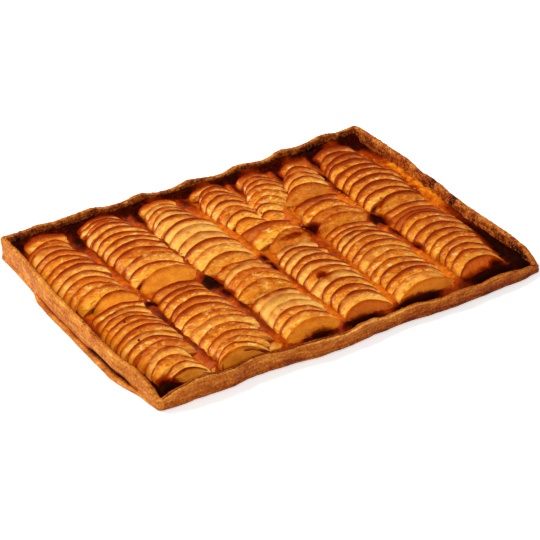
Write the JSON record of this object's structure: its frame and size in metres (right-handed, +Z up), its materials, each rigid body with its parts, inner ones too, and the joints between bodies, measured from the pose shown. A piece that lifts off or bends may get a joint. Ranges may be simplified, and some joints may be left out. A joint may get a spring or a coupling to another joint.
{
  "type": "apple tart",
  "caption": "Whole baked apple tart: rectangular pastry case with an uneven raised rim, dark compote and rows of fanned apple slices.",
  "frame": {"origin": "middle of the underside of the tart's bounding box", "axes": "+X along the long side, +Y from the low front edge to the back edge, +Z up out of the filling"},
  "size_m": [0.4136, 0.2984, 0.0248],
  "materials": {
    "baked_pastry": "dry browned shortcrust",
    "dark_compote": "sticky caramelised compote",
    "baked_apple": "satin glazed apple"
  },
  "bodies": {
    "root": {"pastry_case": "baked_pastry", "compote": "dark_compote", "row_1_back_fan": "baked_apple", "row_1_front_fan": "baked_apple", "row_2_back_fan": "baked_apple", "row_2_front_fan": "baked_apple", "row_3_back_fan": "baked_apple", "row_3_front_fan": "baked_apple", "row_3_middle_fan": "baked_apple", "row_4_back_fan": "baked_apple", "row_4_front_fan": "baked_apple", "row_4_middle_fan": "baked_apple", "row_5_back_fan": "baked_apple", "row_5_front_fan": "baked_apple", "row_5_middle_fan": "baked_apple", "row_5_side_fan": "baked_apple", "row_6_back_fan": "baked_apple", "row_6_front_fan": "baked_apple", "small_slice_1": "baked_apple", "small_slice_2": "baked_apple"}
  },
  "joints": []
}
